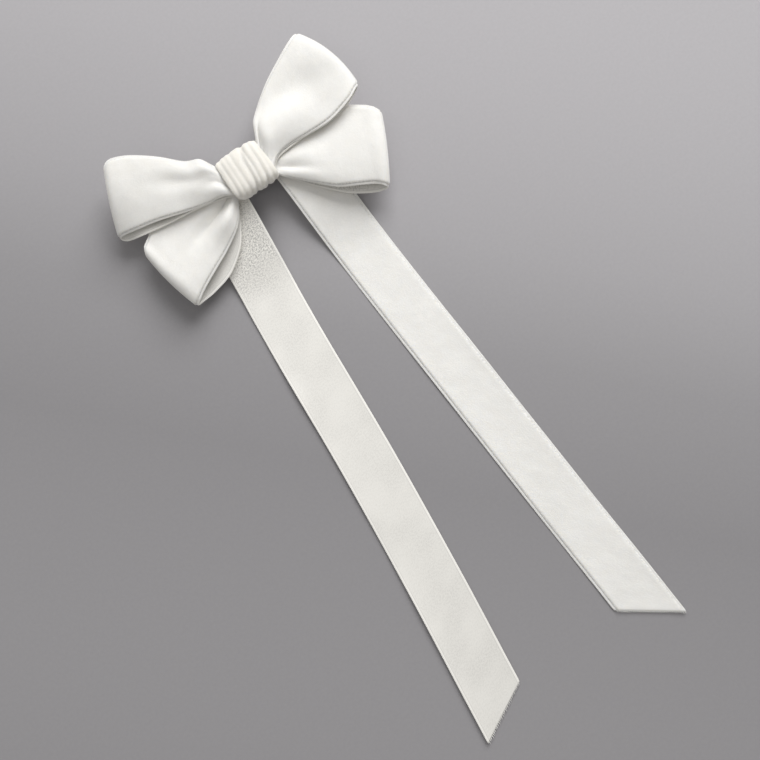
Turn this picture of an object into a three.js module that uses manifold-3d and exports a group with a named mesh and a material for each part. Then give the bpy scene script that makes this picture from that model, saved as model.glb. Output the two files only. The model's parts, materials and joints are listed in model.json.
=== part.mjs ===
// A ribbon hair bow on a sprung barrette, lying face up. Millimetres, +Z towards the front of the bow.
// X runs along the barrette, the two tails run towards -Y, and the origin is the middle of the clasp
// arm's outer face, the one that lies against the head.
//
// Two wide ribbons each make a pair of loops, the upper ribbon lying over the lower one. Thread binds
// their waists, a gathered ribbon wraps the waist, and two narrower ribbons hang as tails. The bow is
// glued to the top plate of the barrette. Under the plate are a tension bar and a clasp arm that share
// one hinge pin, and a riveted catch whose two wings reach through a window in the arm.
import * as THREE from 'three';
import { mergeVertices } from 'three/addons/utils/BufferGeometryUtils.js';
import Module from 'manifold-3d';

// ---------------------------------------------------------------- driving dimensions
const gap = 0.3; // between pieces that rest on each other
const runningGap = 0.3; // between pieces that slide or turn past each other

const loopRibbonWidth = 38;
const tailRibbonWidth = 25;
const ribbonThickness = 1;

const plateLength = 80;
const plateWidth = 10;
const plateThickness = 0.8;
const plateRise = 5; // height of the plate's arch over its whole length
const plateCornerRadius = 3;
const sewingHoleRadius = 1;

const armThickness = 0.8;
const armWidth = 5.6;
const armRise = 1.2; // height of the arm's arch between the hinge pin and the catch

const barThickness = 0.5;
const barWidth = 5.6;
const barTravel = 2.2; // how far the bar's tongue can be pressed towards the plate
const hairGap = 5.1; // between the arm and the tension bar at mid length

const pinRadius = 0.6;
const pinInset = 3; // from the plate's end to the hinge pin
const catchInset = 6; // from the plate's end to the middle of the catch's wings
const rivetInset = 2.5; // from the plate's end to the rivet
const earThickness = 0.7;
const catchThickness = 0.5;
const wingLength = 3.6; // of a wing, along the plate
const wingTravel = 0.8; // how far a wing can be squeezed inwards
const rivetRadius = 0.6;
const rivetHeadRadius = 1.1;
const rivetHeadHeight = 0.5;

const knotWidth = 19.6; // along the barrette
const knotHeight = 20.2; // across the barrette
const layerStep = 2.45; // from one ribbon layer to the next inside the knot
const threadThickness = 0.7;
const threadBand = 3;
const gluePadThickness = 1.5;
const leftTailRoot = 18.2; // from the knot's middle to the middle of the left tail, on the plate
const rightTailToRivet = 2.3; // from the right tail's outer edge to the rivet's head
const tailLift = 46; // how far from the plate's edge a tail comes down to the surface
const tailBend = 0.6; // the slit between a tail's glued end and its free part, where it bends

// ---------------------------------------------------------------- worked out from them
const halfPlate = plateLength / 2;
const pinX = -(halfPlate - pinInset);
const catchX = halfPlate - catchInset;
const rivetX = halfPlate - rivetInset;
const rightTailRoot = rivetX - rivetHeadRadius - rightTailToRivet - tailRibbonWidth / 2;
const barMiddleUnderside = armThickness + hairGap;
const plateArc = archOf(halfPlate, plateRise);
const armArc = archOf(-pinX, armRise);
const slack = 0.15; // round the pin, and beside the wings in their window
const plateUnderside = barMiddleUnderside + barThickness + barTravel / 2 + 2 * gap; // at mid length
const plateTop = plateUnderside + plateThickness;
const armBottomAtPin = -armArc(pinX);
const knuckleRadius = pinRadius + slack + 0.55;
const pinZ = armBottomAtPin + knuckleRadius;
const earRadius = knuckleRadius + 0.4;
const surfaceZ = pinZ - earRadius; // what the whole thing lies on, under its ears and wing tips

// How far an arch of that rise over that half length has fallen at x.
function archOf(half, rise) {
  const radius = (half * half + rise * rise) / (2 * rise);
  return (x) => radius - Math.sqrt(radius * radius - Math.min(x * x, radius * radius));
}
const plateUndersideAt = (x) => plateUnderside - plateArc(x);
const plateTopAt = (x) => plateTop - plateArc(x);
const armTopAt = (x) => armThickness - armArc(x);
const smooth = (t) => {
  const k = Math.min(1, Math.max(0, t));
  return k * k * (3 - 2 * k);
};
const mix = (a, b, t) => a + (b - a) * t;

// ---------------------------------------------------------------- solids and booleans
const wasm = await Module();
wasm.setup();

function solidOf(geometry) {
  const plain = geometry.index ? geometry.toNonIndexed() : geometry.clone();
  plain.deleteAttribute('normal');
  plain.deleteAttribute('uv');
  const merged = mergeVertices(plain, 1e-4);
  return new wasm.Manifold(new wasm.Mesh({
    numProp: 3,
    vertProperties: merged.attributes.position.array,
    triVerts: new Uint32Array(merged.index.array),
  }));
}

function geometryOf(solid) {
  const mesh = solid.getMesh();
  const geometry = new THREE.BufferGeometry();
  geometry.setAttribute('position', new THREE.BufferAttribute(mesh.vertProperties, 3));
  geometry.setIndex(new THREE.BufferAttribute(mesh.triVerts, 1));
  return geometry;
}

// A shape drawn in X and Z, extruded along Y from y0 to y1.
function acrossY(shape, y0, y1, curveSegments = 8) {
  const made = new THREE.ExtrudeGeometry(shape, { depth: y1 - y0, bevelEnabled: false, curveSegments });
  return made.rotateX(Math.PI / 2).translate(0, y1, 0);
}

// A shape drawn in X and Y, extruded along Z from z0 to z1.
function alongZ(shape, z0, z1, curveSegments = 8) {
  const made = new THREE.ExtrudeGeometry(shape, { depth: z1 - z0, bevelEnabled: false, curveSegments });
  return made.translate(0, 0, z0);
}

function circlePath(x, y, radius) {
  return new THREE.Path().absarc(x, y, radius, 0, 2 * Math.PI, true);
}

function roundedRectangle(x0, y0, x1, y1, radius) {
  const r = Math.min(radius, (x1 - x0) / 2.001, (y1 - y0) / 2.001);
  return new THREE.Shape()
    .moveTo(x0 + r, y0)
    .lineTo(x1 - r, y0)
    .absarc(x1 - r, y0 + r, r, -Math.PI / 2, 0, false)
    .lineTo(x1, y1 - r)
    .absarc(x1 - r, y1 - r, r, 0, Math.PI / 2, false)
    .lineTo(x0 + r, y1)
    .absarc(x0 + r, y1 - r, r, Math.PI / 2, Math.PI, false)
    .lineTo(x0, y0 + r)
    .absarc(x0 + r, y0 + r, r, Math.PI, 1.5 * Math.PI, false);
}

// A strip of metal bent along X: height(x) is its underside. steps is odd, so that a flat facet lies at mid length.
function bentStrip(x0, x1, halfWidth, thickness, height, steps) {
  const strip = new THREE.BoxGeometry(x1 - x0, 2 * halfWidth, thickness, steps, 1, 1);
  const at = strip.attributes.position;
  for (let i = 0; i < at.count; i++) {
    const x = at.getX(i) + (x0 + x1) / 2;
    at.setXYZ(i, x, at.getY(i), at.getZ(i) + thickness / 2 + height(x));
  }
  return strip;
}

// A ribbon: a flat strip of that width and length laid on a surface. place(across, along) gives the middle
// of its thickness, with across from -1 to 1 and along from 0 to 1.
function ribbon(width, length, acrossSteps, alongSteps, place) {
  const strip = new THREE.BoxGeometry(width, length, ribbonThickness, acrossSteps, alongSteps, 1);
  const at = strip.attributes.position;
  const step = 1e-3;
  for (let i = 0; i < at.count; i++) {
    const across = at.getX(i) / (width / 2);
    const along = at.getY(i) / length + 0.5;
    const middle = place(across, along);
    const sideways = place(across + step, along).sub(place(across - step, along));
    const forwards = place(across, along + step).sub(place(across, along - step));
    const normal = sideways.cross(forwards).normalize();
    const point = middle.add(normal.multiplyScalar(at.getZ(i)));
    at.setXYZ(i, point.x, point.y, point.z);
  }
  return strip;
}

// ---------------------------------------------------------------- materials
const velvet = new THREE.MeshStandardMaterial({ color: 0xf4f2ec, roughness: 0.95, metalness: 0 });
const ribbonBack = new THREE.MeshStandardMaterial({ color: 0xe9e7e1, roughness: 0.6, metalness: 0 });
const thread = new THREE.MeshStandardMaterial({ color: 0xefece4, roughness: 0.8, metalness: 0 });
const glue = new THREE.MeshStandardMaterial({ color: 0xe9e2c8, roughness: 0.35, metalness: 0 });
const nickel = new THREE.MeshStandardMaterial({ color: 0xb9bbbe, roughness: 0.3, metalness: 1 });
const springSteel = new THREE.MeshStandardMaterial({ color: 0xa4a7ab, roughness: 0.38, metalness: 1 });

const bow = new THREE.Group();
function add(name, geometry, material) {
  const mesh = new THREE.Mesh(geometry, material);
  mesh.name = name;
  bow.add(mesh);
}

// ---------------------------------------------------------------- barrette: top plate with its hinge ears
const pinHalf = armWidth / 2 + runningGap + earThickness; // to the outside of an ear
const earInner = pinHalf - earThickness;

function topPlate() {
  const neckHalf = pinHalf;
  const neckX = pinX + pinInset;
  const half = plateWidth / 2;
  const r = Math.min(plateCornerRadius, half - 0.01);
  const outline = new THREE.Shape()
    .moveTo(-halfPlate, -neckHalf)
    .lineTo(neckX, -neckHalf)
    .lineTo(neckX + 2, -half)
    .lineTo(halfPlate - r, -half)
    .absarc(halfPlate - r, -half + r, r, -Math.PI / 2, 0, false)
    .lineTo(halfPlate, half - r)
    .absarc(halfPlate - r, half - r, r, 0, Math.PI / 2, false)
    .lineTo(neckX + 2, half)
    .lineTo(neckX, neckHalf)
    .lineTo(-halfPlate, neckHalf);
  outline.holes.push(circlePath(rivetX, 0, rivetRadius + 0.06));
  for (const x of [neckX + 5, catchX - 11]) {
    for (const side of [-1, 1]) outline.holes.push(circlePath(x, side * (half - 2), sewingHoleRadius));
  }
  const low = plateUndersideAt(halfPlate) - 1;
  const strip = solidOf(bentStrip(-halfPlate, halfPlate, half, plateThickness, plateUndersideAt, 33));
  let plate = strip.intersect(solidOf(alongZ(outline, low, plateTop + 1, 6)));
  const rootZ = plateUndersideAt(halfPlate) + plateThickness / 2;
  const rootHalf = 2.4;
  const ear = new THREE.Shape()
    .moveTo(pinX - rootHalf, rootZ)
    .lineTo(pinX - earRadius, pinZ)
    .absarc(pinX, pinZ, earRadius, Math.PI, 2 * Math.PI, false)
    .lineTo(pinX + rootHalf, rootZ + plateArc(halfPlate) - plateArc(pinX - rootHalf) - 0.1);
  ear.holes.push(circlePath(pinX, pinZ, pinRadius + 0.06));
  for (const side of [-1, 1]) {
    const inner = side * earInner;
    const outer = side * pinHalf;
    plate = plate.add(solidOf(acrossY(ear, Math.min(inner, outer), Math.max(inner, outer), 8)));
  }
  return geometryOf(plate);
}

// ---------------------------------------------------------------- barrette: hinge pin
function hingePin() {
  const headLength = 0.4;
  const headRadius = pinRadius + 0.35;
  const end = pinHalf + 0.1;
  const profile = [
    [0, -end - headLength], [headRadius, -end - headLength], [headRadius, -end], [pinRadius, -end],
    [pinRadius, end], [headRadius, end], [headRadius, end + headLength], [0, end + headLength],
  ].map(([r, y]) => new THREE.Vector2(r, y));
  return new THREE.LatheGeometry(profile, 16).translate(pinX, 0, pinZ);
}

// ---------------------------------------------------------------- barrette: clasp arm
const knuckleHalf = armWidth / 4;
const windowHalf = 2.6; // of the window that the catch's wings reach through
const wingTipOuter = windowHalf - slack; // the outside of a wing's flared tip
const wingOuter = wingTipOuter - 0.7; // the outside of a wing where it hangs from the base

function claspArm() {
  const neckEnd = pinX + knuckleRadius + runningGap + 0.4;
  const headHalf = windowHalf + 1.1;
  const windowX0 = catchX - wingLength / 2 - runningGap;
  const windowX1 = catchX + wingLength / 2 + runningGap + 0.2;
  const tip = windowX1 + 1.2;
  const half = armWidth / 2;
  const outline = new THREE.Shape()
    .moveTo(pinX, -knuckleHalf)
    .lineTo(neckEnd, -knuckleHalf)
    .lineTo(neckEnd + 1.2, -half)
    .lineTo(windowX0 - 3, -half)
    .lineTo(windowX0 - 1, -headHalf)
    .lineTo(tip - headHalf / 2, -headHalf)
    .absarc(tip - headHalf / 2, -headHalf / 2, headHalf / 2, -Math.PI / 2, 0, false)
    .lineTo(tip, headHalf / 2)
    .absarc(tip - headHalf / 2, headHalf / 2, headHalf / 2, 0, Math.PI / 2, false)
    .lineTo(windowX0 - 1, headHalf)
    .lineTo(windowX0 - 3, half)
    .lineTo(neckEnd + 1.2, half)
    .lineTo(neckEnd, knuckleHalf)
    .lineTo(pinX, knuckleHalf);
  outline.holes.push(new THREE.Path(
    [[windowX0, -windowHalf], [windowX0, windowHalf], [windowX1, windowHalf], [windowX1, -windowHalf]]
      .map(([x, y]) => new THREE.Vector2(x, y)),
  ));
  const underside = (x) => -armArc(x);
  const reach = Math.max(tip, -pinX) + 1;
  const strip = solidOf(bentStrip(-reach, reach, headHalf + 1, armThickness, underside, 17));
  const knuckle = new THREE.Shape().absarc(pinX, pinZ, knuckleRadius, 0, 2 * Math.PI, false);
  const bore = solidOf(acrossY(
    new THREE.Shape().absarc(pinX, pinZ, pinRadius + slack, 0, 2 * Math.PI, false), -armWidth, armWidth, 8));
  return geometryOf(strip
    .intersect(solidOf(alongZ(outline, -armArc(reach) - 1, armThickness + 1, 6)))
    .add(solidOf(acrossY(knuckle, -knuckleHalf, knuckleHalf, 8)))
    .subtract(bore));
}

// ---------------------------------------------------------------- barrette: catch
const catchInboard = catchX - wingLength / 2 - 1.2;
const catchOutboard = halfPlate - 0.8;
const catchBaseTop = plateUndersideAt(catchOutboard) - gap;
const catchBaseBottom = catchBaseTop - catchThickness;
const tongueTop = plateUndersideAt(catchInboard) - gap - barTravel; // of the tension bar, at rest
const lipTop = tongueTop - barThickness - gap;
const wingInner = wingOuter - catchThickness;

// The riveted base, with a lip in front that is joggled down to carry the tension bar's tongue.
function catchBase() {
  const half = windowHalf + 0.6;
  const lipEnd = catchInboard - 2.2;
  const side = new THREE.Shape([
    [catchOutboard, catchBaseTop], [catchInboard + 0.6, catchBaseTop], [catchInboard, lipTop],
    [lipEnd, lipTop], [lipEnd, lipTop - catchThickness], [catchInboard + 0.5, lipTop - catchThickness],
    [catchInboard + 1.1, catchBaseBottom], [catchOutboard, catchBaseBottom],
  ].map(([x, z]) => new THREE.Vector2(x, z)));
  const bore = new THREE.Shape().absarc(rivetX, 0, rivetRadius + 0.06, 0, 2 * Math.PI, false);
  const hole = solidOf(alongZ(bore, lipTop - 3, catchBaseTop + 3, 6));
  return geometryOf(solidOf(acrossY(side, -half, half)).subtract(hole));
}

function catchRivet() {
  const top = plateTopAt(rivetX - rivetHeadRadius) + slack;
  const bottom = catchBaseBottom - slack;
  const crown = rivetHeadRadius * 0.7;
  const profile = [
    [0, bottom - rivetHeadHeight], [crown, bottom - rivetHeadHeight], [rivetHeadRadius, bottom],
    [rivetRadius, bottom], [rivetRadius, top], [rivetHeadRadius, top],
    [crown, top + rivetHeadHeight], [0, top + rivetHeadHeight],
  ].map(([r, z]) => new THREE.Vector2(r, z));
  return new THREE.LatheGeometry(profile, 12).rotateX(Math.PI / 2).translate(rivetX, 0, 0);
}

// One sprung wing. It hangs under the base and reaches through the arm's window, with a flared tip.
const wingRootZ = catchBaseBottom - gap;
function catchWing(side) {
  const flareZ = -armArc(catchX) + armThickness + 0.6;
  const profile = new THREE.Shape([
    [wingInner, wingRootZ], [wingOuter, wingRootZ], [wingOuter, flareZ], [wingTipOuter, flareZ - 1.2],
    [wingTipOuter, surfaceZ], [wingTipOuter - catchThickness, surfaceZ],
    [wingTipOuter - catchThickness, flareZ - 1.4], [wingInner, flareZ - 0.2],
  ].map(([y, z]) => new THREE.Vector2(side * y, z)));
  const made = new THREE.ExtrudeGeometry(profile, { depth: wingLength, bevelEnabled: false });
  return made.rotateX(Math.PI / 2).rotateZ(Math.PI / 2).translate(catchX - wingLength / 2, 0, 0);
}

// ---------------------------------------------------------------- barrette: tension bar
const barX0 = pinX + 3;
const barX1 = catchInboard - 0.2;
const barZ0 = plateUndersideAt(barX0) - gap - barThickness;
const barZ1 = tongueTop - barThickness;
const barRise = barMiddleUnderside - (barZ0 + barZ1) / 2; // of its arch above its chord
function barUndersideAt(x) {
  const share = (x - barX0) / (barX1 - barX0);
  return mix(barZ0, barZ1, share) + 4 * barRise * share * (1 - share);
}

function tensionBar() {
  const half = barWidth / 2;
  const tongueHalf = wingInner - runningGap;
  const outline = new THREE.Shape()
    .moveTo(barX0, -half)
    .lineTo(barX1 - 6, -half)
    .lineTo(barX1 - 3, -tongueHalf)
    .lineTo(barX1, -tongueHalf)
    .lineTo(barX1, tongueHalf)
    .lineTo(barX1 - 3, tongueHalf)
    .lineTo(barX1 - 6, half)
    .lineTo(barX0, half);
  const strip = solidOf(bentStrip(barX0 - 0.4, barX1, half, barThickness, barUndersideAt, 23));
  let bar = strip.intersect(solidOf(alongZ(outline, lipTop - 2, plateTop, 4)));
  const eyeRadius = knuckleRadius - 0.05;
  const legs = [knuckleHalf + runningGap, half];
  const strap = barThickness;
  const leg = new THREE.Shape()
    .moveTo(barX0 + 1, barUndersideAt(barX0 + 1) + strap / 2)
    .lineTo(barX0 - 0.2, barZ0 + strap)
    .quadraticCurveTo(pinX - eyeRadius, barZ0 - 0.3, pinX - eyeRadius, pinZ)
    .absarc(pinX, pinZ, eyeRadius, Math.PI, 2 * Math.PI, false)
    .absarc(pinX, pinZ, eyeRadius, 0, Math.PI * 0.55, false)
    .quadraticCurveTo(pinX - 0.2, barZ0 - 0.6, barX0 + 0.2, barZ0);
  const bore = new THREE.Shape().absarc(pinX, pinZ, pinRadius + slack, 0, 2 * Math.PI, false);
  for (const side of [-1, 1]) {
    const [a, b] = [side * legs[0], side * legs[1]].sort((p, q) => p - q);
    bar = bar.add(solidOf(acrossY(leg, a, b, 6)));
  }
  return geometryOf(bar.subtract(solidOf(acrossY(bore, -barWidth, barWidth, 8))));
}

// ---------------------------------------------------------------- bow: the two looped ribbons
// One ribbon makes a left and a right loop. It starts under the waist, runs out under the right loop,
// folds back over it, crosses the waist, and does the same on the left.
const knotUnderside = plateTop + gap / 2 + gluePadThickness + gap / 2;
const wrapThickness = ribbonThickness + 0.2;
const waistHalfWidth = knotHeight / 2 - wrapThickness - threadThickness - 2 * gap; // of the gathered ribbons
const waistBottom = knotUnderside + wrapThickness + threadThickness + 2 * gap + ribbonThickness / 2;
const knotExit = knotWidth / 2;

const lowerRibbon = {
  bottomZ: waistBottom,
  reach: 60.5,
  crest: 4.2,
  foldHeight: surfaceZ + 10.4,
  foldHalf: 4.3,
  belly: surfaceZ + 11.6,
  right: { foldY: -0.72 * loopRibbonWidth, offset: -2.4 },
  left: { foldY: -0.55 * loopRibbonWidth, offset: -1.6 },
};
const upperRibbon = {
  bottomZ: waistBottom + 2 * layerStep,
  reach: 61.5,
  crest: 5.2,
  foldHeight: surfaceZ + 18.4,
  foldHalf: 4.6,
  belly: surfaceZ + 20.2,
  right: { foldY: 0.58 * loopRibbonWidth, offset: 2.6 },
  left: { foldY: 0.6 * loopRibbonWidth, offset: 2.2 },
};

// Half of the ribbon, seen from the side: distance from the waist and height, from the bottom layer
// round the fold to the top layer.
function loopProfile(r) {
  const top = r.bottomZ + layerStep;
  return new THREE.SplineCurve([
    [0, r.bottomZ], [knotExit + 0.6, r.bottomZ], [r.reach * 0.58, r.belly],
    [r.reach * 0.9, r.foldHeight - r.foldHalf], [r.reach, r.foldHeight],
    [r.reach * 0.92, r.foldHeight + r.foldHalf], [r.reach * 0.6, top + r.crest],
    [r.reach * 0.34, top + r.crest * 0.62], [knotExit + 0.6, top], [0, top],
  ].map(([s, z]) => new THREE.Vector2(s, z)));
}

function loopedRibbon(r) {
  const profile = loopProfile(r);
  const fullHalf = loopRibbonWidth / 2 - 1;
  const fanStart = knotExit + 2;
  const fanEnd = r.reach * 0.8;
  const archDrop = 2.8; // of the layers' edges towards the fold
  const archReach = 18;
  const foldBulge = 3;
  const place = (across, along) => {
    const onRight = along < 0.5;
    const share = onRight ? along * 2 : 2 - along * 2; // from the bottom layer, round the fold, to the top
    const side = onRight ? r.right : r.left;
    const at = profile.getPointAt(Math.min(1, Math.max(0, share)));
    const fan = smooth((at.x - fanStart) / (fanEnd - fanStart));
    const half = mix(waistHalfWidth, fullHalf, Math.sqrt(fan) * 0.35 + fan * 0.65);
    const edge = across * across;
    const out = at.x - foldBulge * edge * smooth((at.x - r.reach * 0.6) / (r.reach * 0.4));
    const bend = smooth((at.x - knotExit * 0.92) / knotExit);
    const layerZ = share < 0.5 ? r.bottomZ : r.bottomZ + layerStep;
    const middleZ = mix(layerZ, at.y, smooth(at.x / knotExit));
    const arching = smooth((at.x - knotExit) / archReach);
    const height = middleZ + archDrop * edge * Math.sin(2 * Math.PI * share) * arching;
    const angle = Math.asin((side.foldY - side.offset) / r.reach) * bend;
    const sign = onRight ? 1 : -1;
    const turn = across * half;
    return new THREE.Vector3(
      sign * (out * Math.cos(angle) - turn * Math.sin(angle)),
      out * Math.sin(angle) + turn * Math.cos(angle) + side.offset * bend,
      height,
    );
  };
  const length = profile.getLength() * 2;
  const seam = 0.6 / length; // the ribbon's two ends stop just short of each other under the waist
  return ribbon(loopRibbonWidth, length, 6, 84, (across, along) => place(across, mix(seam, 1 - seam, along)));
}

// ---------------------------------------------------------------- bow: waist thread, wrap and glue
function ringAlongX(x0, x1, innerY, innerZ0, innerZ1, wall, radius) {
  const outer = roundedRectangle(-innerY - wall, innerZ0 - wall, innerY + wall, innerZ1 + wall, radius + wall);
  const hole = roundedRectangle(-innerY, innerZ0, innerY, innerZ1, radius);
  outer.holes.push(new THREE.Path(hole.getPoints(5).reverse()));
  const made = new THREE.ExtrudeGeometry(outer, { depth: x1 - x0, bevelEnabled: false, curveSegments: 5 });
  return made.rotateX(Math.PI / 2).rotateZ(Math.PI / 2).translate(x0, 0, 0);
}

const bundleHalf = waistHalfWidth + gap;
const bundleBottom = waistBottom - ribbonThickness / 2 - gap;
const bundleTop = upperRibbon.bottomZ + layerStep + ribbonThickness / 2 + gap;

function waistThread() {
  return ringAlongX(-threadBand / 2, threadBand / 2, bundleHalf, bundleBottom, bundleTop, threadThickness, 0.4);
}

function knotWrap() {
  const inner = bundleHalf + threadThickness + gap;
  return ringAlongX(-knotWidth / 2, knotWidth / 2, inner, bundleBottom - threadThickness - gap,
    bundleTop + threadThickness + gap, wrapThickness, 0.8);
}

// It sits on the plate between the two tails' glued ends.
function gluePad() {
  const top = knotUnderside - gap / 2;
  const half = Math.min(leftTailRoot, rightTailRoot) - tailRibbonWidth / 2 - 4 * gap;
  const pad = roundedRectangle(-half, -plateWidth * 0.4, half, plateWidth * 0.4, 2);
  return alongZ(pad, top - gluePadThickness, top, 4);
}

// ---------------------------------------------------------------- bow: tails
const tails = {
  left: { side: -1, rootX: leftTailRoot, splay: 4.8, long: 268, cut: 14.5 },
  right: { side: 1, rootX: rightTailRoot, splay: 3.8, long: 270, cut: 18.5 },
};
const bendY = -plateWidth / 2 - gap - tailBend / 2;
const ribbonOnPlate = (x) => plateTopAt(x) + gap + ribbonThickness / 2;

// The glued end follows the plate's arch.
function tailTab(t) {
  const y0 = bendY + tailBend / 2;
  const y1 = plateWidth / 2;
  return ribbon(tailRibbonWidth, y1 - y0, 8, 1, (across, along) => {
    const x = t.side * t.rootX + across * tailRibbonWidth / 2;
    return new THREE.Vector3(x, mix(y0, y1, along), ribbonOnPlate(x));
  });
}

// The free part starts straight across, level with the glued end, and comes down to lie flat.
function tail(t) {
  const splay = Math.tan(THREE.MathUtils.degToRad(t.splay));
  const rootY = bendY - tailBend / 2;
  const touchdown = -plateWidth / 2 - tailLift;
  const half = tailRibbonWidth / 2;
  const leftZ = ribbonOnPlate(t.side * t.rootX - half);
  const rightZ = ribbonOnPlate(t.side * t.rootX + half);
  const middleZ = ribbonOnPlate(t.rootX);
  const levelUp = (middleZ - (leftZ + rightZ) / 2) / 2;
  const curveShare = 0.88; // of the steps, spent on the curve
  const place = (across, fromRoot) => {
    const end = -t.long + t.cut * (1 - across * t.side) / 2;
    const y = fromRoot < curveShare
      ? mix(rootY, touchdown, fromRoot / curveShare)
      : mix(touchdown, end, (fromRoot - curveShare) / (1 - curveShare));
    const x = t.side * (t.rootX + (rootY - y) * splay) + across * half;
    const rootZ = mix(leftZ, rightZ, (across + 1) / 2) + levelUp;
    return new THREE.Vector3(x, y, mix(rootZ, surfaceZ + ribbonThickness / 2, smooth((rootY - y) / tailLift)));
  };
  return ribbon(tailRibbonWidth, t.long, 4, 25, (across, along) => place(across, 1 - along));
}

// ---------------------------------------------------------------- the whole hair bow
add('upper_loop_ribbon', loopedRibbon(upperRibbon), velvet);
add('lower_loop_ribbon', loopedRibbon(lowerRibbon), velvet);
add('knot_wrap', knotWrap(), velvet);
add('waist_thread', waistThread(), thread);
add('knot_glue_pad', gluePad(), glue);
add('left_tail_glued_end', tailTab(tails.left), ribbonBack);
add('right_tail_glued_end', tailTab(tails.right), velvet);
add('left_tail', tail(tails.left), ribbonBack);
add('right_tail', tail(tails.right), velvet);
add('barrette_plate', topPlate(), nickel);
add('hinge_pin', hingePin(), nickel);
add('clasp_arm', claspArm(), nickel);
add('tension_bar', tensionBar(), springSteel);
add('catch_base', catchBase(), springSteel);
add('catch_rivet', catchRivet(), nickel);
add('catch_wing_left', catchWing(-1), springSteel);
add('catch_wing_right', catchWing(1), springSteel);

export default bow;
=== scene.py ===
"""A velvet ribbon hair bow on a sprung barrette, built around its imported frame."""

import json
import math

import bpy
import numpy as np
from bpy.props import FloatProperty, FloatVectorProperty, IntProperty, PointerProperty
from mathutils import Matrix, Vector

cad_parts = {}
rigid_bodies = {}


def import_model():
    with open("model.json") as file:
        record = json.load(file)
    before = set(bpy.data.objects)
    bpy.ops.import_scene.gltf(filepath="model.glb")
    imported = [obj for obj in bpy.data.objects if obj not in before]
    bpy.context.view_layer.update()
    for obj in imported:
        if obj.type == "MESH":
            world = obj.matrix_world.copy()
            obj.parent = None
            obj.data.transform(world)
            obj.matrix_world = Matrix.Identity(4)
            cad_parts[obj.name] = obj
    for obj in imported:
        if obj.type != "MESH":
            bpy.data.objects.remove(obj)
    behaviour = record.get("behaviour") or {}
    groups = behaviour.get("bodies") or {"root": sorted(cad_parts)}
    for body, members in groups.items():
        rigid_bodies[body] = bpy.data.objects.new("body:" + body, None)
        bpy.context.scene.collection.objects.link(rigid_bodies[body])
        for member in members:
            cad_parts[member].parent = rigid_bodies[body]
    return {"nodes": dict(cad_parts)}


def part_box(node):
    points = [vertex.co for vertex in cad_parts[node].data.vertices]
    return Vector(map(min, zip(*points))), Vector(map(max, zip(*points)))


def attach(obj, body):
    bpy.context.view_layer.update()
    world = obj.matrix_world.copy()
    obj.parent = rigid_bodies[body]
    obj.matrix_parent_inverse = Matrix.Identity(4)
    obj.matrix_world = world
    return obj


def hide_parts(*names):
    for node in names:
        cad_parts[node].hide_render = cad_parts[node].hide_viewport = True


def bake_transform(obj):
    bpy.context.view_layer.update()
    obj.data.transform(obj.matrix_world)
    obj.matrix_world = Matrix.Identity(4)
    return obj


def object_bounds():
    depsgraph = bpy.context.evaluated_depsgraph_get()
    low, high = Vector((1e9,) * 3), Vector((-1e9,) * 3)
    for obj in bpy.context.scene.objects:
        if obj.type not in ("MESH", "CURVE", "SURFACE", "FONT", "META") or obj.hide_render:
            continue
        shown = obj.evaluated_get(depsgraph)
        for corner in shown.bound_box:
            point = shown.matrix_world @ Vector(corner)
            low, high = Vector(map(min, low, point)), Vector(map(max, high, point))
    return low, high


bl_info = {
    "name": "Velvet Hair Bow",
    "version": (1, 0, 0),
    "blender": (4, 5, 0),
    "location": "3D View > Sidebar > Hair Bow",
    "description": "Velvet ribbons, thread, glue and clip metal for a hair bow on its packed frame",
    "category": "Object",
}

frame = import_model()
CAD_LOW, CAD_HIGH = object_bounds()
MM = 0.001
MAIN = "clip_and_bow"  # the body that holds all but the free tails and the clip's moving parts
FLOOR_Z = CAD_LOW.z  # the clip stands on the surface
KNOT_LOW, KNOT_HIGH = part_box("knot_wrap")
THREAD_LOW, THREAD_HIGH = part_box("waist_thread")


# ---------------------------------------------------------------- sizes and colours a user would change
class HairBowRibbons(bpy.types.PropertyGroup):
    """Sizes of the ribbons."""

    loop_width: FloatProperty(name="Loop ribbon width", description="Width of the ribbon in the loops",
                              default=0.038, min=0.01, unit="LENGTH")
    tail_width: FloatProperty(name="Tail ribbon width", description="Width of the ribbon in the tails",
                              default=0.025, min=0.01, unit="LENGTH")
    wrap_width: FloatProperty(name="Wrap ribbon width", description="Width of the ribbon round the waist",
                              default=0.025, min=0.01, unit="LENGTH")
    wrap_length: FloatProperty(name="Wrap ribbon length", description="Length of the ribbon round the waist",
                               default=0.058, min=0.01, unit="LENGTH")
    cloth: FloatProperty(name="Ground cloth", description="Thickness of the woven ground under the pile",
                         default=0.0004, min=0.0001, unit="LENGTH")
    pile: FloatProperty(name="Pile height", description="Height of the velvet pile over the ground cloth",
                        default=0.0006, min=0.0001, unit="LENGTH")
    selvage: FloatProperty(name="Selvage", description="Width of the smooth woven edge beside the pile",
                           default=0.0008, min=0.0003, unit="LENGTH")


class HairBowStitches(bpy.types.PropertyGroup):
    """Sizes of what repeats along the ribbons."""

    pick_pitch: FloatProperty(name="Pick pitch", description="From one edge pick of the weave to the next",
                              default=0.00075, min=0.0002, unit="LENGTH")
    pick_size: FloatProperty(name="Pick size", description="Length of an edge pick",
                             default=0.0007, min=0.0001, unit="LENGTH")
    fibre: FloatProperty(name="Fibre length", description="Length of the loose fibres at the cut ends",
                         default=0.0012, min=0.0001, unit="LENGTH")
    thread: FloatProperty(name="Thread", description="Thickness of the thread wound round the waist",
                          default=0.0006, min=0.0001, unit="LENGTH")
    seed: IntProperty(name="Seed", description="Seed for the loose fibres", default=11)


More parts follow.
